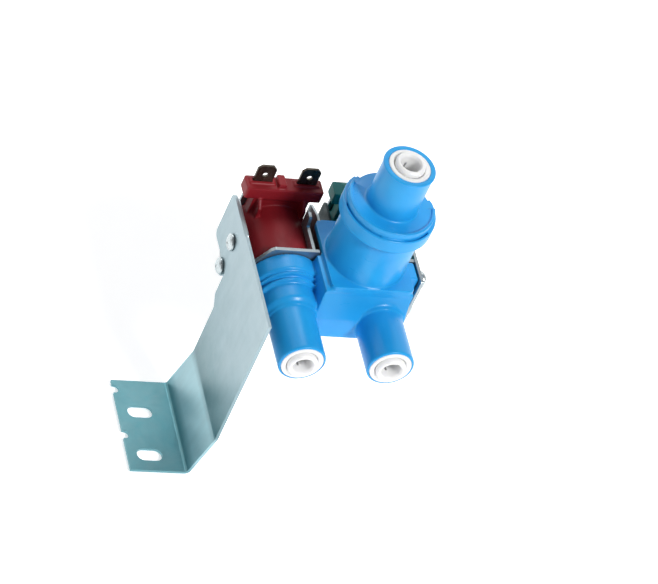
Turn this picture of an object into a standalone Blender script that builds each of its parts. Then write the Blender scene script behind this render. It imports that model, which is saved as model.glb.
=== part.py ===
"""Dual-outlet water inlet solenoid valve on its steel mounting bracket.

Frame: +Z up along the inlet, -Y the way the two outlets point, +X from the
bracket's foot towards the valve. Origin: on the foot's underside, midway
between its two slots. Metres.
"""

import math

import bmesh
import bpy
from mathutils import Matrix, Vector

MM = 0.001
GAP = 0.3  # clearance between neighbouring pieces, mm

# ---- driving dimensions, mm -------------------------------------------------
SHEET = 1.0  # bracket sheet thickness
FOOT_X0, FOOT_X1 = -7.6, 11.4
FOOT_Y0, FOOT_Y1 = -15.3, 21.7
PLATE_X = 15.6  # outer face of the upright plate
BEND_Z = 17.7
PLATE_TOP = 73.2
ARM_Y1, ARM_Z0, ARM_Z1 = 41.2, 53.2, 72.7
SLOT_Y = 8.85
SLOT_W, SLOT_L = 4.8, 8.6

VALVE_X = {"red": 30.0, "green": 59.8}  # axes of the two valves, along Y
VALVE_Z = 61.2
OUTLET_Y = -19.0
OUTLET_R = 7.7
BODY_Y1 = 16.0
INLET_X, INLET_Y = 53.8, 14.8
INLET_R, INLET_BORE_R = 13.1, 10.8
INLET_Z = 118.0
FLANGE_Z0, FLANGE_Z1 = 73.3, 75.3
TUBE_R = 3.25  # quarter-inch tube, 6.35 mm, with clearance
COIL_R, COIL_BORE = 11.8, 4.9
COIL_Y0, COIL_Y1 = 17.8, 41.0
HEAD_Z0, HEAD_Z1 = 75.5, 80.0
TAB_W, TAB_T = 6.35, 0.8  # spade terminals
COLLET_STROKE = 1.2
ARMATURE_STROKE = 1.5

SEG = 40

for o in list(bpy.data.objects):
    bpy.data.objects.remove(o, do_unlink=True)

ROT = {
    "Z": Matrix.Identity(4),
    "Y": Matrix.Rotation(math.radians(-90), 4, "X"),
    "X": Matrix.Rotation(math.radians(90), 4, "Y"),
}


def material(name, colour, rough, metal=0.0):
    m = bpy.data.materials.new(name)
    m.use_nodes = True
    b = m.node_tree.nodes["Principled BSDF"]
    b.inputs["Base Color"].default_value = (*colour, 1)
    b.inputs["Roughness"].default_value = rough
    b.inputs["Metallic"].default_value = metal
    return m


def obj_of(name, bm, origin=(0, 0, 0)):
    """Object from a bmesh whose points are in millimetres about origin."""
    bmesh.ops.remove_doubles(bm, verts=bm.verts, dist=1e-4)
    bmesh.ops.recalc_face_normals(bm, faces=bm.faces)
    bmesh.ops.scale(bm, vec=(MM, MM, MM), verts=bm.verts)
    me = bpy.data.meshes.new(name)
    bm.to_mesh(me)
    bm.free()
    o = bpy.data.objects.new(name, me)
    bpy.context.scene.collection.objects.link(o)
    o.location = Vector(origin) * MM
    return o


def lathe(name, profile, origin, axis="Z", seg=SEG):
    """Turned solid. profile is (radius, distance along the axis); it starts and
    ends on the axis, or closes into a ring."""
    bm = bmesh.new()
    vs = [bm.verts.new((r, 0, h)) for r, h in profile]
    es = [bm.edges.new(p) for p in zip(vs, vs[1:])]
    if profile[0][0] > 0:
        es.append(bm.edges.new((vs[-1], vs[0])))
    bmesh.ops.spin(bm, geom=vs + es, cent=(0, 0, 0), axis=(0, 0, 1), dvec=(0, 0, 0),
                   angle=2 * math.pi, steps=seg, use_merge=True)
    bmesh.ops.transform(bm, matrix=ROT[axis], verts=bm.verts)
    return obj_of(name, bm, origin)


def prism(name, outline, lo, hi, axis="Z"):
    """Outline extruded from lo to hi. Axis Z: (x, y); Y: (x, z); X: (y, z)."""
    put = {
        "Z": lambda a, b, h: (a, b, h),
        "Y": lambda a, b, h: (a, h, b),
        "X": lambda a, b, h: (h, a, b),
    }[axis]
    bm = bmesh.new()
    face = bm.faces.new([bm.verts.new(put(a, b, lo)) for a, b in outline])
    out = bmesh.ops.extrude_face_region(bm, geom=[face])
    moved = [v for v in out["geom"] if isinstance(v, bmesh.types.BMVert)]
    bmesh.ops.translate(bm, vec=put(0, 0, hi - lo), verts=moved)
    return obj_of(name, bm)


def block(name, x0, x1, y0, y1, z0, z1):
    return prism(name, [(x0, y0), (x1, y0), (x1, y1), (x0, y1)], z0, z1)


def disc(name, a, b, r, lo, hi, axis, seg=24):
    origin = {"Z": (a, b, 0), "Y": (a, 0, b), "X": (0, a, b)}[axis]
    return lathe(name, [(0, lo), (r, lo), (r, hi), (0, hi)], origin, axis, seg)


def rounded(x0, x1, y0, y1, r, n=4):
    """Rectangle outline with rounded corners."""
    pts = []
    for cx, cy, a0 in ((x1 - r, y0 + r, -90), (x1 - r, y1 - r, 0), (x0 + r, y1 - r, 90), (x0 + r, y0 + r, 180)):
        for i in range(n + 1):
            a = math.radians(a0 + 90 * i / n)
            pts.append((cx + r * math.cos(a), cy + r * math.sin(a)))
    return pts


def slot_outline(cx, cy, length, width, n=8):
    """Slot whose long side runs along the outline's first axis."""
    r, h = width / 2, (length - width) / 2
    pts = []
    for sx, a0 in ((1, -90), (-1, 90)):
        for i in range(n + 1):
            a = math.radians(a0 + 180 * i / n)
            pts.append((cx + sx * h + r * math.cos(a), cy + r * math.sin(a)))
    return pts


def combine(o, tools, operation):
    for t in tools:
        t.hide_render = True
        t.display_type = "WIRE"
        m = o.modifiers.new(operation.lower(), "BOOLEAN")
        m.operation, m.solver, m.object = operation, "EXACT", t
    bpy.context.view_layer.update()
    graph = bpy.context.evaluated_depsgraph_get()
    me = bpy.data.meshes.new_from_object(o.evaluated_get(graph))
    o.modifiers.clear()
    o.data = me
    for t in tools:
        bpy.data.objects.remove(t, do_unlink=True)
    return o


def union(o, *tools):
    return combine(o, tools, "UNION")


def cut(o, *tools):
    return combine(o, tools, "DIFFERENCE")


def dress(o, mat, smooth=True):
    o.data.materials.clear()
    o.data.materials.append(mat)
    if smooth:
        o.data.shade_smooth()
        o.data.set_sharp_from_angle(angle=math.radians(35))
    return o


def recentre(o, point):
    """Moves the object's origin to point, mm, and leaves its shape in place."""
    p = Vector(point) * MM
    o.data.transform(Matrix.Translation(o.location - p))
    o.location = p
    return o


ZINC = material("zinc_plated_steel", (0.42, 0.52, 0.58), 0.35, 1.0)
RIVET = material("rivet_steel", (0.50, 0.55, 0.58), 0.30, 1.0)
BLUE = material("blue_moulding", (0.03, 0.30, 0.68), 0.30)
WHITE = material("white_acetal", (0.86, 0.87, 0.87), 0.40)
RUBBER = material("black_rubber", (0.02, 0.02, 0.02), 0.70)
STEEL = material("stainless_steel", (0.60, 0.60, 0.60), 0.30, 1.0)
RED = material("red_overmould", (0.25, 0.02, 0.03), 0.45)
GREEN = material("green_overmould", (0.0, 0.12, 0.12), 0.45)
TIN = material("tinned_brass", (0.35, 0.33, 0.28), 0.35, 1.0)
PALE = material("natural_nylon", (0.75, 0.74, 0.68), 0.50)

# ---- mounting bracket: one folded sheet -------------------------------------
run, rise = PLATE_X - FOOT_X1, BEND_Z - SHEET
length = math.hypot(run, rise)
nx, nz = rise / length * SHEET, -run / length * SHEET
low = FOOT_X1 + nx - (SHEET + nz) * run / rise
high = BEND_Z + nz + (SHEET - nx) * rise / run
bracket = prism("mounting_bracket", [
    (FOOT_X0, 0), (low, 0), (PLATE_X + SHEET, high), (PLATE_X + SHEET, PLATE_TOP),
    (PLATE_X, PLATE_TOP), (PLATE_X, BEND_Z), (FOOT_X1, SHEET), (FOOT_X0, SHEET),
], FOOT_Y0, ARM_Y1, "Y")
arc = [(ARM_Y1 - 2 + 2 * math.sin(math.radians(a)), ARM_Z0 + 2 - 2 * math.cos(math.radians(a))) for a in range(0, 91, 18)]
arc2 = [(ARM_Y1 - 2 + 2 * math.cos(math.radians(a)), ARM_Z1 - 2 + 2 * math.sin(math.radians(a))) for a in range(0, 91, 18)]
away = prism("away", [(FOOT_Y1, -5), (FOOT_Y1, 39.5), (24.7, 42.5), (24.7, ARM_Z0)] + arc + arc2
             + [(FOOT_Y1, ARM_Z1), (FOOT_Y1, 90), (60, 90), (60, -5)], -20, 40, "X")
cut(bracket, away)
union(bracket, disc("ear", 28.8, 51.3, 3.2, PLATE_X, PLATE_X + SHEET, "X", 28))
cutters = [prism("slot", slot_outline(0, s * SLOT_Y, SLOT_L, SLOT_W), -1, 2) for s in (-1, 1)]
cutters += [prism("notch", slot_outline(FOOT_X0 - 1.6, y, 7.2, 3.2), -1, 2) for y in (18.0, -0.9)]
RIVETS = {"upper": (28.5, 63.0), "lower": (28.8, 51.3)}
cutters += [disc("hole", y, z, 1.7, 10, 20, "X", 20) for y, z in RIVETS.values()]
dress(cut(bracket, *cutters), ZINC)
for which, (y, z) in RIVETS.items():
    dress(lathe(f"bracket_rivet_{which}", [
        (0, -1.6), (1.3, -1.45), (2.3, -1.0), (2.9, -GAP - 0.35), (2.9, -GAP), (1.35, -GAP), (1.35, 2.05), (0, 2.05),
    ], (PLATE_X, y, z), "X", 24), RIVET)

# ---- valve body: one moulding -----------------------------------------------
def chamber(x):
    return lathe("chamber", [
        (0, OUTLET_Y), (7.5, OUTLET_Y), (OUTLET_R, OUTLET_Y + 0.3), (OUTLET_R, -1.2), (8.0, -1.0), (8.0, -0.6),
        (9.3, 0.2), (9.3, 6.4), (10.5, 6.8), (10.5, 7.5), (9.9, 7.8), (9.9, 8.6), (11.2, 8.8), (11.2, 9.3),
        (11.0, 9.4), (11.0, 9.6), (12.0, 9.8), (12.0, BODY_Y1), (0, BODY_Y1),
    ], (x, 0, VALVE_Z), "Y")


def passages(x):
    return lathe("passages", [
        (0, OUTLET_Y - 1), (7.1, OUTLET_Y - 1), (7.1, OUTLET_Y + 1.2), (6.5, OUTLET_Y + 1.2), (6.5, -9), (3.5, -9), (3.5, -5), (2.4, -5), (2.4, 12.7),
        (3.6, 12.7), (3.6, 8), (7.8, 8), (7.8, 13), (9.6, 13), (9.6, 17), (0, 17),
    ], (x, 0, VALVE_Z), "Y", 36)


body = chamber(VALVE_X["red"])
body.name = "valve_body"
core = prism("core", [(38, 73.5), (36.5, 60), (38, 54.6), (64, 54.6), (67.6, 60), (68, 73.5)], -1.7, BODY_Y1 - 0.1, "Y")
lug = block("lug", 66, 71.8, 8.9, 15.7, 54, 73)
flange = prism("flange", rounded(39.8, 67.9, 1.0, 29.4, 2.0), FLANGE_Z0, FLANGE_Z1)
tower = disc("tower", INLET_X, INLET_Y, INLET_R, FLANGE_Z0 + 1, 99.0, "Z", SEG)
union(body, chamber(VALVE_X["green"]), core, lug, flange, tower)
SCREW_Y, SCREW_Z = 11.4, {"upper": 70.0, "lower": 57.2}
cut(
    body,
    passages(VALVE_X["red"]),
    passages(VALVE_X["green"]),
    disc("inlet_bore", INLET_X, INLET_Y, INLET_BORE_R, 78, 100, "Z", SEG),
    disc("down", INLET_X, 10.2, 2.1, 66, 79, "Z", 20),
    disc("across", 10.2, VALVE_Z, 2.0, 35.5, 54, "X", 20),
    disc("s1", SCREW_Y, SCREW_Z["upper"], 1.5, 69.0, 73, "X", 20),
    disc("s2", SCREW_Y, SCREW_Z["lower"], 1.5, 69.0, 73, "X", 20),
)
dress(body, BLUE)

# ---- inlet cap, strainer and flow washer ------------------------------------
cap = lathe("inlet_cap", [
    (13.5, 94.0), (15.0, 94.0), (15.3, 94.3), (15.3, 98.9), (14.9, 99.3), (14.2, 99.3), (14.2, 101.6), (14.0, 101.8),
    (13.4, 101.8), (13.2, 101.6), (13.2, 101.0), (8.6, 101.0), (8.3, 101.4), (8.3, 117.0), (8.6, 117.3), (8.6, 117.8),
    (8.4, 118.0), (7.1, 118.0), (7.1, 116.8), (6.5, 116.8), (6.5, 108.0), (3.5, 108.0), (3.5, 104.0), (2.5, 104.0), (2.5, 99.0), (8.6, 99.0),
    (8.6, 95.5), (10.4, 95.5), (10.4, 96.4), (9.5, 96.4), (9.5, 97.8), (10.4, 97.8), (10.4, 99.4), (13.5, 99.4),
], (INLET_X, INLET_Y, 0), "Z", 40)


def sector(r0, r1, a0, a1, n=5):
    ang = [math.radians(a0 + (a1 - a0) * i / n) for i in range(n + 1)]
    return [(INLET_X + r1 * math.cos(a), INLET_Y + r1 * math.sin(a)) for a in ang] + [
        (INLET_X + r0 * math.cos(a), INLET_Y + r0 * math.sin(a)) for a in reversed(ang)]


# the skirt and the raised rim stop at the back, where the cap is turned off its key
cut(
    cap,
    *[prism("arc", sector(14.25, 14.85, a0, a1), 98.6, 100) for a0, a1 in ((180, 246), (276, 316))],
    prism("skirt_gap", sector(13.3, 18.0, 12, 128, 10), 93, 103),
    prism("rim_gap", sector(12.2, 18.0, -8, 145, 12), 100.2, 103),
)
dress(cap, BLUE)


def ring(name, c, r, origin, axis, mat, at, seg=28, n=6):
    prof = [(c + r * math.cos(2 * math.pi * i / n), at + r * math.sin(2 * math.pi * i / n)) for i in range(n)]
    return dress(lathe(name, prof, origin, axis, seg), mat)


ring("inlet_cap_oring", 10.1, 0.42, (INLET_X, INLET_Y, 97.1), "Z", RUBBER, 0)
dress(lathe("flow_washer", [(1.5, 0), (10.4, 0), (10.4, 3), (2.2, 3), (1.5, 2.2)], (INLET_X, INLET_Y, 78.3), "Z", 36), RUBBER)
screen = lathe("inlet_screen", [(0, 81.7), (7.6, 81.7), (8.1, 91.5), (10.3, 92.2), (10.3, 93.2), (7.7, 92.6), (7.0, 82.5), (0, 82.5)],
               (INLET_X, INLET_Y, 0), "Z", 32)
holes = [disc("h", INLET_X + 4.6 * math.cos(a), INLET_Y + 4.6 * math.sin(a), 1.3, 80, 84, "Z", 10)
         for a in (math.radians(60 * i) for i in range(6))]
dress(cut(screen, *holes), PALE)

# ---- push-fit ports ---------------------------------------------------------
def port(name, origin, axis, sign):
    """sign is the way out along the axis. The collet slides inwards."""
    def prof(pts):
        p = [(r, sign * h) for r, h in pts]
        return p if sign > 0 else p[::-1]
    dress(lathe(f"{name}_cartridge", prof([(5.05, -9.7), (6.2, -9.7), (6.2, -0.9), (6.8, -0.9), (6.8, -0.1), (6.5, 0.15), (5.2, 0.15), (5.05, 0.0)]),
                origin, axis, 28), WHITE)
    dress(lathe(f"{name}_collet", prof([
        (TUBE_R, -6.5), (4.3, -6.5), (4.3, -0.3), (4.75, 0.0), (4.75, 1.1), (4.4, 1.5), (3.6, 1.5), (TUBE_R, 1.1)]),
        origin, axis, 28), WHITE)
    ring(f"{name}_tube_oring", 4.0, 0.65, origin, axis, RUBBER, -8.7 * sign, 28)


port("inlet", (INLET_X, INLET_Y, INLET_Z), "Z", 1)
port("outlet_left", (VALVE_X["red"], OUTLET_Y, VALVE_Z), "Y", -1)
port("outlet_right", (VALVE_X["green"], OUTLET_Y, VALVE_Z), "Y", -1)

# ---- the two valves and their coils -----------------------------------------
def helix(name, x, y0, y1, r, wire, turns, mat):
    cu = bpy.data.curves.new(name, "CURVE")
    cu.dimensions, cu.bevel_depth, cu.bevel_resolution, cu.use_fill_caps = "3D", wire * MM, 1, True
    n = int(turns * 10)
    sp = cu.splines.new("POLY")
    sp.points.add(n)
    for i in range(n + 1):
        a = 2 * math.pi * turns * i / n
        sp.points[i].co = (r * math.cos(a) * MM, (y0 + (y1 - y0) * i / n) * MM, r * math.sin(a) * MM, 1)
    cu.materials.append(mat)
    o = bpy.data.objects.new(name, cu)
    bpy.context.scene.collection.objects.link(o)
    o.location = Vector((x, 0, VALVE_Z)) * MM


def valve(side, mat, tab_dx, tab_top):
    x = VALVE_X[side]
    axis = (x, 0, VALVE_Z)
    at = (x, 13.6, VALVE_Z)
    dress(lathe(f"membrane_{side}", [(1.9, -0.3), (6.0, -0.3), (9.2, -0.3), (9.2, 0.3), (1.9, 0.3)], at, "Y", 32), RUBBER)
    dress(lathe(f"diaphragm_insert_{side}", [
        (0.5, -1.8), (1.5, -1.8), (1.5, 0.6), (3.2, 0.6), (3.2, 1.2), (0.9, 1.2), (0.5, 0.9)], at, "Y", 24), WHITE)
    dress(lathe(f"guide_tube_{side}", [
        (0, 36.5), (4.2, 36.5), (4.6, 35.9), (4.6, 15.7), (9.2, 15.7), (9.2, 14.3), (3.95, 14.3), (3.95, 35.8), (0, 35.8)],
        axis, "Y", 32), STEEL)
    dress(lathe(f"armature_{side}", [(0, 15.2), (1.0, 15.4), (1.6, 16.2), (3.7, 16.2), (3.7, 27.0), (2.4, 27.0), (2.4, 22.5), (0, 22.5)],
                axis, "Y", 24), STEEL)
    helix(f"armature_spring_{side}", x, 23.1, 28.9, 1.8, 0.28, 5, STEEL)
    dress(lathe(f"fixed_core_{side}", [(0, 29.5), (3.65, 29.5), (3.65, 35.5), (0, 35.5)], axis, "Y", 24), STEEL)

    coil = lathe(f"coil_{side}", [
        (COIL_BORE, COIL_Y0), (COIL_R - 0.5, COIL_Y0), (COIL_R, COIL_Y0 + 0.5), (COIL_R, COIL_Y1 - 0.5),
        (COIL_R - 0.5, COIL_Y1), (COIL_BORE, COIL_Y1)], axis, "Y", SEG)
    head = prism("head", rounded(x - 13, x + 13, 36.2, 42.2, 0.8, 2), HEAD_Z0, HEAD_Z1)
    neck = block("neck", x - 9.5, x + 9.5, 36.6, 40.8, 64, HEAD_Z0 + 0.5)
    ribs = [block("rib", x + d - 0.6, x + d + 0.6, 33.2, 37, 66, HEAD_Z0 + 0.4) for d in (-7.5, 7.5)]
    half = min(1.35, tab_dx - 3.85)
    mid = x - 1.2 if side == "red" else x
    wall = block("wall", mid - half, mid + half, 37.0, 41.9, HEAD_Z1 - 0.5, HEAD_Z1 + 1.6)
    union(coil, head, neck, wall, *ribs)
    cut(coil, *[block("pocket", x + s * tab_dx - 3.7, x + s * tab_dx + 3.7, 39.1, 40.7, 77.0, HEAD_Z1 + 1) for s in (-1, 1)])
    dress(coil, mat)
    for s, hand in ((-1, "left"), (1, "right")):
        c = x + s * tab_dx
        h = TAB_W / 2
        t = prism(f"terminal_{side}_{hand}", [
            (c - h, 77.4), (c + h, 77.4), (c + h, tab_top - 1.2), (c + h - 1.1, tab_top), (c - h + 1.1, tab_top), (c - h, tab_top - 1.2)],
            39.9 - TAB_T / 2, 39.9 + TAB_T / 2, "Y")
        dress(cut(t, disc("eye", c, tab_top - 3.9, 0.9, 38, 42, "Y", 16)), TIN)
    # rear pole plate, behind the coil and between the frame's side plates
    rear = prism(f"rear_pole_plate_{side}", [(x - 11, 52.0), (x + 11, 52.0), (x + 11, 72.3), (x - 11, 72.3)], 41.3, 42.3, "Y")
    dress(cut(rear, disc("hub", x, VALVE_Z, 3.0, 40, 44, "Y", 24)), ZINC)


# The terminal head overhangs the pole plate, so the plate stops below the neck.
valve("red", RED, 7.5, 87.2)
valve("green", GREEN, 5.3, 84.5)

Y0, Y1 = BODY_Y1 + GAP, BODY_Y1 + GAP + 1.2


def hub(x):
    return disc("hub", x, VALVE_Z, 4.95, 14, 19, "Y", 28)


yoke = prism("yoke_red", [(16.9, 48.5), (43.1, 48.5), (43.1, 72.7), (39.4, 72.7), (39.4, 74.2), (24.4, 74.2), (23.2, 73.4), (18.0, 65.7), (16.9, 64.0)], Y0, Y1, "Y")
left = prism("left", [(Y0, 48.5), (Y0, 64.0), (21.0, 64.0), (24.0, 71.5), (40.6, 71.5), (40.6, 53.5), (33.0, 48.5)], 16.9, 17.7, "X")
right = prism("right", [(Y0, 52.0), (Y0, 72.5), (34.0, 72.5), (40.6, 70.5), (40.6, 52.0)], 42.3, 43.1, "X")
tab = prism("tab", [(Y0, 71.0), (Y0, 74.2), (27.2, 74.2), (27.8, 77.6), (31.0, 77.6), (31.0, 71.0)], 36.9, 37.9, "X")
union(yoke, left, right, tab)
dress(cut(yoke, hub(VALVE_X["red"]), *[disc("hole", y, z, 1.7, 10, 20, "X", 20) for y, z in RIVETS.values()]), ZINC)

yoke = prism("yoke_green", [(46.5, 48.5), (73.1, 48.5), (73.1, 72.7), (46.5, 72.7)], Y0, Y1, "Y")
left = prism("left", [(Y0, 52.0), (Y0, 72.5), (40.6, 72.5), (40.6, 52.0)], 46.5, 47.3, "X")
right = prism("right", [(7.2, 54.6), (7.2, 72.4), (8.0, 73.2), (40.6, 73.2), (40.6, 52.0), (Y0, 52.0), (8.0, 53.8)], 72.1, 73.1, "X")
union(yoke, left, right)
dress(cut(yoke, hub(VALVE_X["green"]), *[disc("hole", SCREW_Y, z, 1.7, 71, 75, "X", 20) for z in SCREW_Z.values()]), ZINC)
for which, z in SCREW_Z.items():
    dress(lathe(f"side_screw_{which}", [
        (0, -3.8), (1.15, -3.5), (1.15, GAP), (2.8, GAP), (2.8, 1.2), (2.2, 1.9), (1.0, 2.2), (0, 2.2)][::-1], (73.1, SCREW_Y, z), "X", 24), STEEL)
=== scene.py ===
import math

import bmesh
import bpy
from mathutils import Matrix, Vector


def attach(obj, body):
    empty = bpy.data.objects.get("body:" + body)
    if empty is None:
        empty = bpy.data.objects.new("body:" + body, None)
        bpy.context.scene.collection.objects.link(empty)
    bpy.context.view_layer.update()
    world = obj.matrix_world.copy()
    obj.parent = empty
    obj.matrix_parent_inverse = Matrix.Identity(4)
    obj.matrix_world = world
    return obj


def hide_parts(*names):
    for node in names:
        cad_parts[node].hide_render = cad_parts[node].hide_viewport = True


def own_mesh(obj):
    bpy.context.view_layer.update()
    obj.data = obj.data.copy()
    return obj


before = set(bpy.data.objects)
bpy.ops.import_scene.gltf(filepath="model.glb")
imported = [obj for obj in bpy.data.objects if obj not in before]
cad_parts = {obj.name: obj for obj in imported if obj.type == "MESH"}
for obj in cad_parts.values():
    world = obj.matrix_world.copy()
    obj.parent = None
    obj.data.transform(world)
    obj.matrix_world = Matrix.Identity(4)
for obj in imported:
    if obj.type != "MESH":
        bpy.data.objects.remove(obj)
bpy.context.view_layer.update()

MM = 0.001

# ---------------------------------------------------------------- dimensions
VX = {"red": 30.0, "green": 59.8}
VZ = 61.2
OY = -19.0
IX, IY, IZ = 53.8, 14.8, 118.0
ROT = {
    "Z": Matrix.Identity(4),
    "Y": Matrix.Rotation(math.radians(-90), 4, "X"),
    "X": Matrix.Rotation(math.radians(90), 4, "Y"),
}


# ---------------------------------------------------------------- mesh tools
def obj_of(name, bm):
    bmesh.ops.remove_doubles(bm, verts=bm.verts, dist=1e-4)
    bmesh.ops.recalc_face_normals(bm, faces=bm.faces)
    bmesh.ops.scale(bm, vec=(MM, MM, MM), verts=bm.verts)
    me = bpy.data.meshes.new(name)
    bm.to_mesh(me)
    bm.free()
    o = bpy.data.objects.new(name, me)
    bpy.context.scene.collection.objects.link(o)
    return o


def fillet(pts, default=0.0, closed=False, n=5):
    """Rounds the corners of a polyline. Each point is (a, b) or (a, b, radius)."""
    out = []
    m = len(pts)
    for i, p in enumerate(pts):
        r = p[2] if len(p) > 2 else default
        if r <= 0 or (not closed and i in (0, m - 1)):
            out.append((p[0], p[1]))
            continue
        c, a, b = Vector(p[:2]), Vector(pts[i - 1][:2]), Vector(pts[(i + 1) % m][:2])
        u, v = (a - c), (b - c)
        la, lb = u.length, v.length
        u.normalize(); v.normalize()
        ang = u.angle(v)
        if ang > math.radians(177):
            out.append((p[0], p[1]))
            continue
        d = min(r / math.tan(ang / 2), la * 0.49, lb * 0.49)
        r = d * math.tan(ang / 2)
        mid = c + (u + v).normalized() * (r / math.sin(ang / 2))
        s, e = c + u * d - mid, c + v * d - mid
        turn = s.angle_signed(e)
        for k in range(n + 1):
            t = -turn * k / n
            q = Vector((s.x * math.cos(t) - s.y * math.sin(t), s.x * math.sin(t) + s.y * math.cos(t))) + mid
            out.append((q.x, q.y))
    return out


def lathe(name, profile, origin, axis="Z", seg=144, r=0.0, start=0.0):
    """Turned solid. profile is (radius, distance[, corner radius]) from axis to axis, or a ring."""
    ring = profile[0][0] > 0
    prof = fillet(profile, r, ring)
    bm = bmesh.new()
    rows = []
    for rad, h in prof:
        if rad < 1e-6:
            rows.append([bm.verts.new((0, 0, h))])
        else:
            rows.append([bm.verts.new((rad * math.cos(start + 2 * math.pi * i / seg), rad * math.sin(start + 2 * math.pi * i / seg), h)) for i in range(seg)])
    pairs = list(zip(rows, rows[1:])) + ([(rows[-1], rows[0])] if ring else [])
    for a, b in pairs:
        for i in range(seg):
            j = (i + 1) % seg
            if len(a) == 1 and len(b) == 1:
                continue
            if len(a) == 1:
                bm.faces.new((a[0], b[i], b[j]))
            elif len(b) == 1:
                bm.faces.new((a[i], a[j], b[0]))
            else:
                bm.faces.new((a[i], a[j], b[j], b[i]))
    bmesh.ops.transform(bm, matrix=Matrix.Translation(origin) @ ROT[axis], verts=bm.verts)
    return obj_of(name, bm)


def prism(name, outline, lo, hi, axis="Z"):
    put = {"Z": lambda a, b, h: (a, b, h), "Y": lambda a, b, h: (a, h, b), "X": lambda a, b, h: (h, a, b)}[axis]
    bm = bmesh.new()
    f = bm.faces.new([bm.verts.new(put(a, b, lo)) for a, b in outline])
    out = bmesh.ops.extrude_face_region(bm, geom=[f])
    bmesh.ops.translate(bm, vec=put(0, 0, hi - lo), verts=[v for v in out["geom"] if isinstance(v, bmesh.types.BMVert)])
    return obj_of(name, bm)


def block(name, x0, x1, y0, y1, z0, z1, r=0.0, axis="Z"):
    if axis == "Z":
        return prism(name, fillet([(x0, y0), (x1, y0), (x1, y1), (x0, y1)], r, True), z0, z1, "Z")
    if axis == "Y":
        return prism(name, fillet([(x0, z0), (x1, z0), (x1, z1), (x0, z1)], r, True), y0, y1, "Y")
    return prism(name, fillet([(y0, z0), (y1, z0), (y1, z1), (y0, z1)], r, True), x0, x1, "X")


def disc(name, a, b, r, lo, hi, axis, seg=96):
    origin = {"Z": (a, b, 0), "Y": (a, 0, b), "X": (0, a, b)}[axis]
    return lathe(name, [(0, lo), (r, lo), (r, hi), (0, hi)], origin, axis, seg)


def slot_pts(cx, cy, length, width, n=16):
    r, h = width / 2, (length - width) / 2
    pts = []
    for sx, a0 in ((1, -90), (-1, 90)):
        for i in range(n + 1):
            a = math.radians(a0 + 180 * i / n)
            pts.append((cx + sx * h + r * math.cos(a), cy + r * math.sin(a)))
    return pts


def apply(o):
    bpy.context.view_layer.update()
    g = bpy.context.evaluated_depsgraph_get()
    me = bpy.data.meshes.new_from_object(o.evaluated_get(g))
    o.modifiers.clear()
    o.data = me
    return o


def boolean(o, tools, op):
    for t in tools:
        m = o.modifiers.new("b", "BOOLEAN")
        m.operation, m.solver, m.object = op, "EXACT", t
    apply(o)
    for t in tools:
        bpy.data.objects.remove(t, do_unlink=True)
    return o


def union(o, *t):
    return boolean(o, t, "UNION")


def cut(o, *t):
    return boolean(o, t, "DIFFERENCE")


def soften(o, voxel, steps, factor=0.5):
    """Melts the hard intersections of a moulding into small fillets."""
    m = o.modifiers.new("r", "REMESH")
    m.mode, m.voxel_size, m.adaptivity = "VOXEL", voxel * MM, 0.0
    m = o.modifiers.new("s", "SMOOTH")
    m.factor, m.iterations = factor, steps
    return apply(o)


def edge_round(o, width, seg=3, angle=32):
    m = o.modifiers.new("bevel", "BEVEL")
    m.width, m.segments, m.limit_method, m.angle_limit = width * MM, seg, "ANGLE", math.radians(angle)
    m.use_clamp_overlap, m.harden_normals = True, False
    return apply(o)


def finish_piece(o, mat, body, nodes, sharp=40):
    o.data.materials.clear()
    o.data.materials.append(mat)
    o.data.shade_smooth()
    if sharp:
        o.data.set_sharp_from_angle(angle=math.radians(sharp))
    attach(o, body)
    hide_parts(*nodes)
    return o


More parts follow.
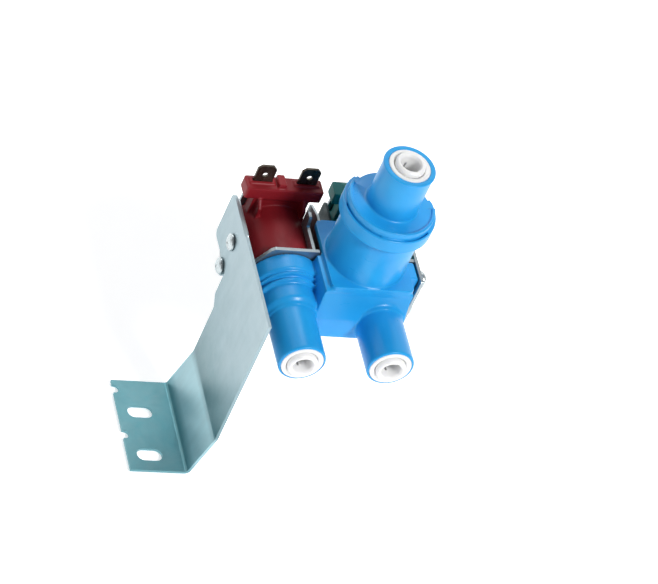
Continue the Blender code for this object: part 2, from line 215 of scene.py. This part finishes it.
# ---------------------------------------------------------------- materials
class Nodes:
    def __init__(self, name):
        self.mat = bpy.data.materials.new(name)
        self.mat.use_nodes = True
        self.t = self.mat.node_tree
        self.b = self.t.nodes["Principled BSDF"]
        self.co = self.t.nodes.new("ShaderNodeTexCoord").outputs["Object"]

    def link(self, a, b):
        self.t.links.new(a, b)

    def noise(self, scale, detail=4.0, rough=0.55, stretch=(1, 1, 1), distort=0.0):
        mp = self.t.nodes.new("ShaderNodeMapping")
        mp.inputs["Scale"].default_value = stretch
        self.link(self.co, mp.inputs["Vector"])
        n = self.t.nodes.new("ShaderNodeTexNoise")
        n.inputs["Scale"].default_value = scale
        n.inputs["Detail"].default_value = detail
        n.inputs["Roughness"].default_value = rough
        n.inputs["Distortion"].default_value = distort
        self.link(mp.outputs[0], n.inputs["Vector"])
        return n.outputs["Fac"]

    def ramp(self, fac, stops):
        r = self.t.nodes.new("ShaderNodeValToRGB")
        e = r.color_ramp.elements
        while len(e) < len(stops):
            e.new(0.5)
        for el, (p, c) in zip(e, stops):
            el.position = p
            el.color = (*c, 1) if len(c) == 3 else c
        self.link(fac, r.inputs["Fac"])
        return r.outputs["Color"]

    def mix(self, fac, a, b, mode="MIX"):
        m = self.t.nodes.new("ShaderNodeMix")
        m.data_type, m.blend_type = "RGBA", mode
        for value, i in ((fac, 0), (a, 6), (b, 7)):
            if isinstance(value, bpy.types.NodeSocket):
                self.link(value, m.inputs[i])
            elif i == 0:
                m.inputs[0].default_value = value
            else:
                m.inputs[i].default_value = (*value, 1)
        return m.outputs[2]

    def maprange(self, v, a, b, c, d):
        m = self.t.nodes.new("ShaderNodeMapRange")
        self.link(v, m.inputs[0])
        for i, x in enumerate((a, b, c, d)):
            m.inputs[i + 1].default_value = x
        return m.outputs[0]

    def bump(self, height, strength, distance, normal=None):
        b = self.t.nodes.new("ShaderNodeBump")
        b.inputs["Strength"].default_value = strength
        b.inputs["Distance"].default_value = distance
        self.link(height, b.inputs["Height"])
        if normal:
            self.link(normal, b.inputs["Normal"])
        return b.outputs[0]

    def set(self, **kw):
        for k, v in kw.items():
            s = self.b.inputs[k.replace("_", " ")]
            if isinstance(v, bpy.types.NodeSocket):
                self.link(v, s)
            else:
                s.default_value = (*v, 1) if s.type == "RGBA" else v
        return self.mat

    def height(self, axis="Z"):
        s = self.t.nodes.new("ShaderNodeSeparateXYZ")
        self.link(self.co, s.inputs[0])
        return s.outputs[axis]


def moulded(name, light, mid, dark, rough, grain=0.02, coat=0.0, coat_rough=0.1, spec=0.5, sss=0.0):
    """Moulded plastic: slow flow variation, fine tool grain, handling marks."""
    n = Nodes(name)
    flow = n.noise(55, 3, 0.5, (1, 1, 0.6), 0.6)
    base = n.ramp(flow, [(0.30, dark), (0.5, mid), (0.72, light)])
    fleck = n.noise(900, 3, 0.6)
    base = n.mix(n.maprange(fleck, 0.35, 0.7, 0.0, 0.10), base, light)
    rub = n.noise(160, 6, 0.7, (1, 1, 3), 1.2)
    r = n.maprange(rub, 0.3, 0.75, rough * 0.82, rough * 1.25)
    g1 = n.bump(n.noise(2600, 2, 0.5), 0.25, 0.00002 * grain / 0.02)
    g2 = n.bump(n.noise(240, 3, 0.5), 0.30, 0.00003, g1)
    scratch = n.ramp(n.noise(420, 8, 0.75, (1, 2, 0.7), 2.0), [(0.70, (0, 0, 0)), (0.74, (1, 1, 1))])
    g3 = n.bump(scratch, 0.015, 0.000010, g2)
    return n.set(Base_Color=base, Roughness=r, Normal=g3, Coat_Weight=coat, Coat_Roughness=coat_rough, Specular_IOR_Level=spec,
                 Subsurface_Weight=sss, Subsurface_Radius=(0.002, 0.002, 0.003), Subsurface_Scale=1.0)


def zinc(name, tints, rough, streak=(1, 1, 14)):
    """Rolled and zinc-plated steel: milky passivate blotches, rolling streaks."""
    n = Nodes(name)
    blotch = n.noise(70, 5, 0.6, (1, 1, 1), 0.8)
    streaks = n.noise(260, 4, 0.6, (streak[0], streak[1], streak[2] / 100.0) if streak[2] > 10 else streak)
    # base tone follows height through the given tints; on the bracket these tints are painted shade and painted light
    z = n.height()
    tone = n.ramp(n.maprange(z, 0.0, 0.075, 0.0, 1.0), tints)
    base = n.mix(n.maprange(blotch, 0.3, 0.7, 0.0, 0.20), tone, (0.50, 0.58, 0.61))
    base = n.mix(n.maprange(streaks, 0.35, 0.7, 0.0, 0.16), base, (0.20, 0.28, 0.31))
    speck = n.ramp(n.noise(1500, 2, 0.5), [(0.70, (0, 0, 0)), (0.76, (1, 1, 1))])
    base = n.mix(n.maprange(speck, 0, 1, 0.0, 0.35), base, (0.30, 0.36, 0.38))
    r = n.maprange(n.noise(190, 5, 0.65), 0.3, 0.7, rough * 0.85, rough * 1.25)
    g1 = n.bump(streaks, 0.12, 0.00002)
    g2 = n.bump(n.noise(1100, 3, 0.6), 0.14, 0.000015, g1)
    g3 = n.bump(n.ramp(n.noise(300, 9, 0.8, (0.3, 4, 1), 2.5), [(0.67, (0, 0, 0)), (0.70, (1, 1, 1))]), 0.2, 0.00001, g2)
    return n.set(Base_Color=base, Metallic=METAL, Roughness=r, Normal=g3)


METAL = 0.85
BLUE = moulded("blue_moulding", (0.022, 0.400, 0.830), (0.016, 0.350, 0.780), (0.011, 0.310, 0.730), 0.32, coat=0.05, coat_rough=0.14, spec=0.35)
RED = moulded("red_overmould", (0.300, 0.013, 0.020), (0.235, 0.009, 0.015), (0.180, 0.006, 0.011), 0.46, grain=0.05, spec=0.28)
GREEN = moulded("green_overmould", (0.001, 0.250, 0.225), (0.001, 0.190, 0.175), (0.001, 0.140, 0.132), 0.46, grain=0.05, spec=0.28)
WHITE = moulded("white_acetal", (0.93, 0.93, 0.93), (0.90, 0.90, 0.905), (0.86, 0.865, 0.87), 0.34, sss=0.15)
# bracket zinc: tints ramp with height as painted shade and painted light, darker on the foot and just above the upper
# bend, lighter on the slanted facet and towards the top
ZINC_BRACKET_PAINTED_SHADE = zinc("zinc_bracket_painted_shade", [(0.0, (0.11, 0.33, 0.38)), (0.03, (0.12, 0.34, 0.39)), (0.08, (0.36, 0.60, 0.66)), (0.21, (0.40, 0.62, 0.67)), (0.25, (0.17, 0.30, 0.33)), (0.33, (0.22, 0.36, 0.39)), (0.52, (0.33, 0.46, 0.50)), (1.0, (0.39, 0.50, 0.54))], 0.36)
ZINC2 = zinc("zinc_frame", [(0.0, (0.33, 0.39, 0.41)), (1.0, (0.42, 0.47, 0.49))], 0.34)
# near-black zinc for the frame arm between the coils: painted shade
ARM_ZINC_PAINTED_SHADE = zinc("zinc_arm_painted_shade", [(0.0, (0.010, 0.022, 0.022)), (1.0, (0.016, 0.032, 0.032))], 0.5)
RIVET = zinc("rivet_steel", [(0.0, (0.50, 0.58, 0.60)), (1.0, (0.66, 0.72, 0.73))], 0.26)


def terminal_metal():
    n = Nodes("tinned_brass")
    base = n.ramp(n.noise(320, 5, 0.6, (1, 1, 0.2), 0.6), [(0.3, (0.045, 0.035, 0.026)), (0.55, (0.085, 0.072, 0.055)), (0.75, (0.15, 0.13, 0.10))])
    r = n.maprange(n.noise(500, 4, 0.6), 0.3, 0.7, 0.24, 0.42)
    g = n.bump(n.noise(700, 4, 0.6, (1, 1, 0.1)), 0.2, 0.00001)
    return n.set(Base_Color=base, Metallic=0.9, Roughness=r, Normal=g)


TIN = terminal_metal()


def rubber():
    n = Nodes("black_rubber")
    base = n.ramp(n.noise(400, 4, 0.6), [(0.3, (0.010, 0.010, 0.010)), (0.7, (0.028, 0.028, 0.030))])
    return n.set(Base_Color=base, Roughness=n.maprange(n.noise(700, 4, 0.6), 0.3, 0.7, 0.55, 0.8), Normal=n.bump(n.noise(1800, 3, 0.5), 0.3, 0.00002))


def turned():
    n = Nodes("stainless_steel")
    base = n.ramp(n.noise(300, 4, 0.6), [(0.3, (0.48, 0.48, 0.49)), (0.7, (0.66, 0.66, 0.67))])
    return n.set(Base_Color=base, Metallic=1.0, Roughness=n.maprange(n.noise(260, 4, 0.6), 0.3, 0.7, 0.2, 0.34), Normal=n.bump(n.noise(1500, 3, 0.5, (1, 0.05, 1)), 0.2, 0.00001))


RUBBER, STEEL = rubber(), turned()
PALE = moulded("natural_nylon", (0.80, 0.79, 0.73), (0.74, 0.73, 0.67), (0.68, 0.67, 0.61), 0.45, sss=0.1)

# ---------------------------------------------------------------- bracket
def bent_sheet():
    T = 1.0
    top = fillet([(-7.6, T), (11.4, T, 0.9), (15.6, 17.7, 2.4), (15.6, 73.2)], n=8)
    # a close extra row on each side of a bend keeps the flats truly flat
    held = [top[0]]
    for a, b in zip(top, top[1:]):
        u, v = Vector(a), Vector(b)
        if (v - u).length > 4:
            d = (v - u).normalized() * 0.12
            held += [tuple(u + d), tuple(v - d)]
        held.append(b)
    top = held
    # the under side is the upper side moved out by the sheet's thickness
    under = []
    for i, p in enumerate(top):
        a = Vector(top[max(i - 1, 0)]); b = Vector(top[min(i + 1, len(top) - 1)])
        d = (b - a).normalized()
        under.append((p[0] + d.y * T, p[1] - d.x * T))
    o = prism("bracket", top + under[::-1], -15.3, 41.2, "Y")
    away = fillet([(21.7, -5), (21.7, 39.5, 2.5), (24.7, 42.5, 2.5), (24.7, 53.2, 1.2), (41.2, 53.2, 2.2), (41.2, 72.7, 2.2),
                   (21.7, 72.7, 0.6), (21.7, 90), (60, 90), (60, -5)], closed=True, n=8)
    cut(o, prism("away", away, -20, 40, "X"))
    union(o, disc("ear", 28.8, 51.3, 3.2, 15.6, 16.6, "X", 64))
    cutters = [prism("slot", slot_pts(0, s * 8.85, 8.6, 4.8), -1, 2) for s in (-1, 1)]
    cutters += [prism("notch", slot_pts(-9.2, y, 7.2, 3.2), -1, 2) for y in (18.0, -0.9)]
    cutters += [disc("hole", y, z, 1.55, 10, 20, "X", 48) for y, z in ((28.5, 63.0), (28.8, 51.3))]
    cut(o, *cutters)
    return edge_round(o, 0.16, 2, 50)


finish_piece(bent_sheet(), ZINC_BRACKET_PAINTED_SHADE, "valve", ["mounting_bracket"], 14)

for which, (y, z) in {"upper": (28.5, 63.0), "lower": (28.8, 51.3)}.items():
    # pressed rivet head: domed, with a shallow set mark in the middle and a rim
    o = lathe(f"rivet_{which}", [(0, -1.15), (0.9, -1.2, 0.2), (1.3, -1.5, 0.25), (1.9, -1.35, 0.5), (2.75, -0.85, 0.5), (2.9, -0.3, 0.1),
                                 (1.5, -0.3), (1.5, 2.05), (0, 2.05)], (15.6, y, z), "X", 64)
    finish_piece(o, RIVET, "valve", [f"bracket_rivet_{which}"])

# ---------------------------------------------------------------- body
def chamber(x):
    return lathe("chamber", [
        (0, OY), (7.0, OY), (7.5, OY + 0.1), (7.7, OY + 0.5), (7.7, -1.5), (8.15, -1.2, 0.1), (8.15, -0.5, 0.1), (8.5, -0.1), (9.3, 0.9, 0.8), (9.3, 6.2, 0.4),
        (10.6, 6.5, 0.3), (10.7, 7.3, 0.3), (9.8, 7.7), (9.8, 8.4), (11.2, 8.6, 0.2), (11.2, 9.3), (10.8, 9.5),
        (10.8, 9.8), (12.0, 10.2, 0.4), (12.0, 16.0), (0, 16.0)], (x, 0, VZ), "Y", 160)


body = chamber(VX["red"])
core = prism("core", fillet([(38.2, 73.6), (36.8, 62), (38.4, 54.6, 3.0), (64, 54.6, 4.0), (67.4, 60, 3.0), (67.9, 73.6)], closed=True), -1.7, 15.8, "Y")
cut(core, prism("slope", [(-8, 62.5), (-1.9, 62.5), (0.9, 72.2), (0.9, 80), (-8, 80)], 30, 80, "X"))
lug = block("lug", 66, 71.8, 8.9, 15.7, 54, 73, 1.0, "Y")
flange = prism("flange", fillet([(39.8, 1.0), (67.9, 1.0), (67.9, 29.4), (39.8, 29.4)], 2.0, True), 73.3, 75.3)
step = prism("step", fillet([(40.7, 1.7), (67.0, 1.7), (67.0, 16), (40.7, 16)], 1.6, True), 71.4, 73.6)
tower = disc("tower", IX, IY, 13.1, 74.3, 99.0, "Z", 160)
union(body, chamber(VX["green"]), core, lug, flange, step, tower)
soften(body, 0.30, 5)
bores = []
for x in VX.values():
    bores.append(lathe("bore", [(0, OY - 1), (6.95, OY - 1), (6.95, OY + 1.1), (6.45, OY + 1.1), (6.45, -9), (3.5, -9), (3.5, -5), (2.4, -5), (2.4, 12.7), (0, 12.7)], (x, 0, VZ), "Y", 128))
    bores.append(lathe("bore2", [(3.6, 13.2), (3.6, 8), (7.8, 8), (7.8, 13.2)][::-1], (x, 0, VZ), "Y", 128))
    bores.append(disc("bore3", x, VZ, 9.6, 13.0, 17.0, "Y", 128))
bores += [disc("in", IX, IY, 10.8, 78, 100, "Z", 128), disc("down", IX, 10.2, 2.1, 66, 79, "Z", 40),
          disc("s1", 11.4, 70.0, 1.5, 69.0, 73, "X", 40), disc("s2", 11.4, 57.2, 1.5, 69.0, 73, "X", 40)]
cut(body, *bores)
body.name = "body_moulding"
finish_piece(body, BLUE, "valve", ["valve_body"], 32)

# ---------------------------------------------------------------- inlet cap
cap = lathe("cap_moulding", [
    (13.5, 94.0), (15.0, 94.0, 0.35), (15.3, 94.6, 0.3), (15.3, 99.3, 0.7), (14.2, 99.3, 0.2), (14.2, 101.8, 0.35),
    (13.2, 101.8, 0.35), (13.0, 101.0, 0.3), (8.3, 101.0, 0.8), (8.3, 117.2, 0.3), (8.6, 117.4, 0.15), (8.55, 118.0, 0.35), (6.95, 118.0, 0.1),
    (6.9, 116.9), (6.45, 116.9), (6.45, 108.0), (3.5, 108.0), (3.5, 104.0), (2.5, 104.0), (2.5, 99.0), (8.6, 99.0),
    (8.6, 95.5), (10.4, 95.5), (10.4, 96.4), (9.5, 96.4), (9.5, 97.8), (10.4, 97.8), (10.4, 99.4), (13.5, 99.4)], (IX, IY, 0), "Z", 192)


def sector(r0, r1, a0, a1, n=24):
    ang = [math.radians(a0 + (a1 - a0) * i / n) for i in range(n + 1)]
    return [(IX + r1 * math.cos(a), IY + r1 * math.sin(a)) for a in ang] + [(IX + r0 * math.cos(a), IY + r0 * math.sin(a)) for a in reversed(ang)]


cut(cap, *[prism("arc", sector(14.22, 14.82, a0, a1), 98.2, 100) for a0, a1 in ((180, 246), (276, 316))],
    prism("skirt_gap", sector(13.3, 18.0, 12, 128, 40), 93, 103), prism("rim_gap", sector(12.2, 18.0, -8, 145, 48), 100.2, 103))
edge_round(cap, 0.12, 2, 50)
finish_piece(cap, BLUE, "valve", ["inlet_cap"], 38)

# ---------------------------------------------------------------- ports
def port(name, origin, axis, sign):
    def prof(pts):
        p = [(q[0], sign * q[1], *q[2:]) for q in pts]
        return p if sign > 0 else p[::-1]
    o = lathe(f"{name}_ring", prof([(5.0, -9.7), (6.2, -9.7), (6.2, -0.95), (6.82, -0.95), (6.82, 0.12, 0.35), (6.2, 0.22), (5.35, 0.05, 0.2), (5.0, -0.3)]), origin, axis, 128)
    finish_piece(o, WHITE, "valve", [f"{name}_cartridge"])
    o = lathe(f"{name}_release_ring", prof([(3.2, -6.5), (4.3, -6.5), (4.3, -0.6), (4.88, -0.3), (4.88, 0.9, 0.7), (4.3, 1.5, 0.5), (3.7, 1.5, 0.45), (3.2, 0.7, 0.6)]), origin, axis, 128)
    # the collet's sprung fingers: four slits up from its inner end
    cut(o, *slits(origin, axis, sign))
    finish_piece(o, WHITE, f"{name}_release", [f"{name}_collet"])


def slits(origin, axis, sign):
    lo, hi = sorted((sign * -7.5, sign * -2.0))
    out = []
    for wide in (True, False):
        a, b = (6.0, 0.35) if wide else (0.35, 6.0)
        if axis == "Z":
            out.append(block("slit", origin[0] - a, origin[0] + a, origin[1] - b, origin[1] + b, origin[2] + lo, origin[2] + hi))
        else:
            out.append(block("slit", origin[0] - a, origin[0] + a, origin[1] + lo, origin[1] + hi, origin[2] - b, origin[2] + b))
    return out


port("inlet", (IX, IY, IZ), "Z", 1)
port("outlet_left", (VX["red"], OY, VZ), "Y", -1)
port("outlet_right", (VX["green"], OY, VZ), "Y", -1)

# ---------------------------------------------------------------- coils
def coil(side, mat, dx, top):
    x = VX[side]
    c = lathe("coil", [(0, 17.8), (11.8, 17.8, 0.7), (11.8, 41.0, 0.7), (0, 41.0)], (x, 0, VZ), "Y", 128)
    head = prism("head", fillet([(x - 13, 36.2), (x + 13, 36.2), (x + 13, 42.2), (x - 13, 42.2)], 0.7, True), 75.5, 80.0)
    neck = block("neck", x - 9.5, x + 9.5, 36.6, 40.8, 62, 76.0, 0.5, "Y")
    ribs = [prism("rib", [(33.2, 66), (37.4, 66), (37.4, 76.0), (35.6, 76.0), (33.2, 73.8)], x + d - 0.6, x + d + 0.6, "X") for d in (-7.5, 7.5)]
    half = min(1.35, dx - 3.85)
    mid = x - 1.2 if side == "red" else x
    wall = block("wall", mid - half, mid + half, 37.0, 41.9, 79.5, 81.6, 0.3)
    collar = [prism("collar", fillet([(x + s * dx - 4.3, 38.6), (x + s * dx + 4.3, 38.6), (x + s * dx + 4.3, 41.2), (x + s * dx - 4.3, 41.2)], 0.4, True), 79.5, 80.45) for s in (-1, 1)]
    union(c, head, neck, wall, *ribs, *collar)
    soften(c, 0.26, 4)
    cut(c, disc("bore", x, VZ, 4.9, 16, 43, "Y", 96), *[block("pocket", x + s * dx - 3.4, x + s * dx + 3.4, 39.4, 40.4, 77.0, 82) for s in (-1, 1)])
    c.name = f"coil_moulding_{side}"
    finish_piece(c, mat, "valve", [f"coil_{side}"], 32)
    for s, hand in ((-1, "left"), (1, "right")):
        cx, h = x + s * dx, 3.175
        out = fillet([(cx - h, 77.4), (cx + h, 77.4), (cx + h, top - 1.3, 0.4), (cx + h - 1.2, top, 0.5), (cx - h + 1.2, top, 0.5), (cx - h, top - 1.3, 0.4)], closed=True)
        t = prism("spade", out, 39.5, 40.3, "Y")
        cut(t, disc("eye", cx, top - 3.9, 0.9, 38, 42, "Y", 48), disc("dimple", cx, top - 3.9, 1.25, 39.3, 39.56, "Y", 48))
        edge_round(t, 0.14, 2, 50)
        t.name = f"spade_{side}_{hand}"
        finish_piece(t, TIN, "valve", [f"terminal_{side}_{hand}"], 14)
    p = prism("pole", fillet([(x - 11, 52.0), (x + 11, 52.0), (x + 11, 72.3), (x - 11, 72.3)], 1.2, True), 41.3, 42.3, "Y")
    cut(p, disc("hub", x, VZ, 3.0, 40, 44, "Y", 64))
    edge_round(p, 0.14, 2, 50)
    p.name = f"pole_plate_{side}"
    finish_piece(p, ZINC2, "valve", [f"rear_pole_plate_{side}"], 14)


coil("red", RED, 7.5, 87.2)
coil("green", GREEN, 5.3, 84.5)

# ---------------------------------------------------------------- coil frames
Y0, Y1 = 16.3, 17.5
y = prism("yoke", fillet([(16.9, 48.5, 0.8), (43.1, 48.5, 0.8), (43.1, 72.7, 0.4), (39.4, 72.7), (39.4, 74.2, 0.3), (24.4, 74.2, 0.5), (23.2, 73.4, 0.3), (18.0, 65.7, 0.5), (16.9, 64.0)], closed=True), Y0, Y1, "Y")
union(y,
      prism("l", fillet([(Y0, 48.5), (Y0, 64.0), (21.0, 64.0, 1.5), (24.0, 71.5, 1.5), (40.6, 71.5, 1.5), (40.6, 53.5, 1.5), (33.0, 48.5, 1.5)], closed=True), 16.9, 17.7, "X"),
      prism("r", fillet([(Y0, 52.0), (Y0, 72.5), (34.0, 72.5, 1.5), (40.6, 70.5, 1.0), (40.6, 52.0, 1.5)], closed=True), 42.3, 43.1, "X"),
      prism("t", fillet([(Y0, 71.0), (Y0, 74.2), (27.2, 74.2, 0.8), (27.8, 77.6, 0.8), (31.0, 77.6, 0.8), (31.0, 71.0, 0.8)], closed=True), 36.9, 37.9, "X"))
cut(y, disc("hub", VX["red"], VZ, 4.95, 14, 19, "Y", 64), disc("h1", 28.5, 63.0, 1.55, 10, 20, "X", 40), disc("h2", 28.8, 51.3, 1.55, 10, 20, "X", 40))
edge_round(y, 0.13, 2, 50)
y.name = "frame_red"
finish_piece(y, ZINC2, "valve", ["yoke_red"], 14)

y = prism("yoke", fillet([(46.5, 48.5, 0.8), (73.1, 48.5, 0.8), (73.1, 72.7), (46.5, 72.7)], closed=True), Y0, Y1, "Y")
union(y,
      prism("r", fillet([(7.2, 54.6, 0.8), (7.2, 73.2, 0.8), (40.6, 73.2, 1.5), (40.6, 52.0, 1.5), (Y0, 52.0), (8.0, 53.8, 0.8)], closed=True), 72.1, 73.1, "X"))
cut(y, disc("hub", VX["green"], VZ, 4.95, 14, 19, "Y", 64), *[disc("h", 11.4, z, 1.6, 71, 75, "X", 40) for z in (70.0, 57.2)])
edge_round(y, 0.13, 2, 50)
y.name = "frame_green"
finish_piece(y, ZINC2, "valve", ["yoke_green"], 14)
# the frame's arm between the coils gets a near-black zinc: painted shade standing in for the shadow between the coils
y = prism("yoke", fillet([(Y1, 52.0), (Y1, 72.5), (40.6, 72.5, 1.5), (40.6, 52.0, 1.5)], closed=True), 46.5, 47.3, "X")
edge_round(y, 0.13, 2, 50)
y.name = "frame_green_arm"
finish_piece(y, ARM_ZINC_PAINTED_SHADE, "valve", ["yoke_green"], 14)

for which, z in {"upper": 70.0, "lower": 57.2}.items():
    o = lathe(f"screw_{which}", [(0, 2.2), (1.2, 2.15, 0.4), (2.3, 1.8, 0.5), (2.8, 1.1, 0.3), (2.8, 0.3, 0.15), (1.15, 0.3), (1.15, -3.5), (0, -3.8)][::-1], (73.1, 11.4, z), "X", 64)
    cross = [block("c", 74.5, 77, 11.4 - a, 11.4 + a, z - b, z + b, 0.1, "X") for a, b in ((1.5, 0.3), (0.3, 1.5))]
    cut(o, *cross)
    finish_piece(o, RIVET, "valve", [f"side_screw_{which}"])

# ---------------------------------------------------------------- springs and diaphragms that follow their plungers
def helix(name, x, radius, wire, y0, y1, turns, steps=26, ring=10):
    bm = bmesh.new()
    rows = []
    for i in range(int(turns * steps) + 1):
        a = 2 * math.pi * i / steps
        y = y0 + (y1 - y0) * i / int(turns * steps)
        rows.append([bm.verts.new((x + (radius + wire * math.cos(b)) * math.cos(a), y + wire * math.sin(b), VZ + (radius + wire * math.cos(b)) * math.sin(a)))
                     for b in (2 * math.pi * k / ring for k in range(ring))])
    for a, b in zip(rows, rows[1:]):
        for k in range(ring):
            bm.faces.new((a[k], a[(k + 1) % ring], b[(k + 1) % ring], b[k]))
    bm.faces.new(rows[0][::-1])
    bm.faces.new(rows[-1])
    return obj_of(name, bm)


for side, x in VX.items():
    o = helix(f"spring_{side}", x, 1.8, 0.26, 23.1, 28.9, 5)
    finish_piece(o, STEEL, f"plunger_{side}", [f"armature_spring_{side}"], 60)
    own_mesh(o)
    # the clamped rim stays with the body; the rolled middle follows the plunger through it
    o = lathe(f"diaphragm_rim_{side}", [(3.86, -0.3), (9.2, -0.3), (9.2, 0.3), (3.86, 0.3)], (x, 13.6, VZ), "Y", 72, 0.12)
    finish_piece(o, RUBBER, "valve", [f"membrane_{side}"])
    o = lathe(f"diaphragm_roll_{side}", [(1.9, -0.3), (3.35, -0.3), (3.45, -1.3), (3.8, -1.3), (3.8, 0.3), (1.9, 0.3)], (x, 13.6, VZ), "Y", 72, 0.12)
    finish_piece(o, RUBBER, f"diaphragm_{side}", [f"membrane_{side}"])

# ---------------------------------------------------------------- inner pieces keep their CAD shape
for name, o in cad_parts.items():
    if "oring" in name or name == "flow_washer" or name.startswith("membrane"):
        m = RUBBER
    elif name.startswith("diaphragm"):
        m = WHITE
    elif name == "inlet_screen":
        m = PALE
    elif name.startswith(("armature", "guide", "fixed")):
        m = STEEL
    else:
        continue
    o.data.materials.clear() if not o.material_slots else None
    if o.material_slots:
        for s in o.material_slots:
            s.link = "OBJECT"
            s.material = m

# ---------------------------------------------------------------- stage
bm = bmesh.new()
prof = [(-3.0, 0.0), (1.1, 0.0)] + [(1.1 + 0.5 * math.sin(math.radians(a)), 0.5 - 0.5 * math.cos(math.radians(a))) for a in range(10, 91, 10)] + [(1.6, 2.6)]
rows = [[bm.verts.new((x, yy, zz - 0.0006)) for x in (-4, 4)] for yy, zz in prof]
for a, b in zip(rows, rows[1:]):
    bm.faces.new((a[0], a[1], b[1], b[0]))
me = bpy.data.meshes.new("floor")
bm.to_mesh(me)
bm.free()
floor = bpy.data.objects.new("floor", me)
bpy.context.scene.collection.objects.link(floor)
me.shade_smooth()
nf = Nodes("paper_floor")
floor.data.materials.append(nf.set(Base_Color=nf.ramp(nf.noise(3, 3, 0.5), [(0.3, (0.94, 0.94, 0.945)), (0.7, (0.96, 0.96, 0.96))]), Roughness=0.9, Specular_IOR_Level=0.1, Emission_Color=(1.0, 1.0, 1.0), Emission_Strength=0.55))

# ---------------------------------------------------------------- lights
world = bpy.data.worlds.new("studio")
bpy.context.scene.world = world
world.use_nodes = True
bg = world.node_tree.nodes["Background"]
bg.inputs["Color"].default_value = (0.97, 0.985, 1.0, 1)
bg.inputs["Strength"].default_value = 0.16
centre = Vector((0.036, 0.012, 0.055))


def area(name, pos, size, power, colour=(1, 1, 1)):
    l = bpy.data.lights.new(name, "AREA")
    l.shape, l.size, l.energy, l.color = "DISK", size, power, colour
    o = bpy.data.objects.new(name, l)
    bpy.context.scene.collection.objects.link(o)
    o.location = Vector(pos)
    o.rotation_euler = (centre - Vector(pos)).to_track_quat("-Z", "Y").to_euler()
    return o


area("key", (0.40, -0.80, 1.00), 0.30, 12.0)
area("fill", (-0.95, -0.35, 0.75), 0.6, 0.55, (0.96, 0.98, 1.0))
area("back", (0.1, 0.9, 0.9), 0.5, 2.0)

# ---------------------------------------------------------------- camera
cam = bpy.data.cameras.new("camera")
cam.sensor_fit, cam.sensor_width = "HORIZONTAL", 36.0
cam.lens = 36.0 * 4147.93 / 658.0
cam.clip_start, cam.clip_end = 0.01, 50
co = bpy.data.objects.new("camera", cam)
bpy.context.scene.collection.objects.link(co)
R = Matrix(((0.92602512, -0.05833991, -0.37292618), (-0.20214734, 0.75770996, -0.62049342), (0.31876941, 0.64997852, 0.68986519)))
co.matrix_world = Matrix.Translation((-0.4443995, -0.8037598, 0.9676996)) @ R.to_4x4()
bpy.context.scene.camera = co
bpy.context.scene.view_settings.view_transform = "Standard"
bpy.context.scene.view_settings.look = "None"
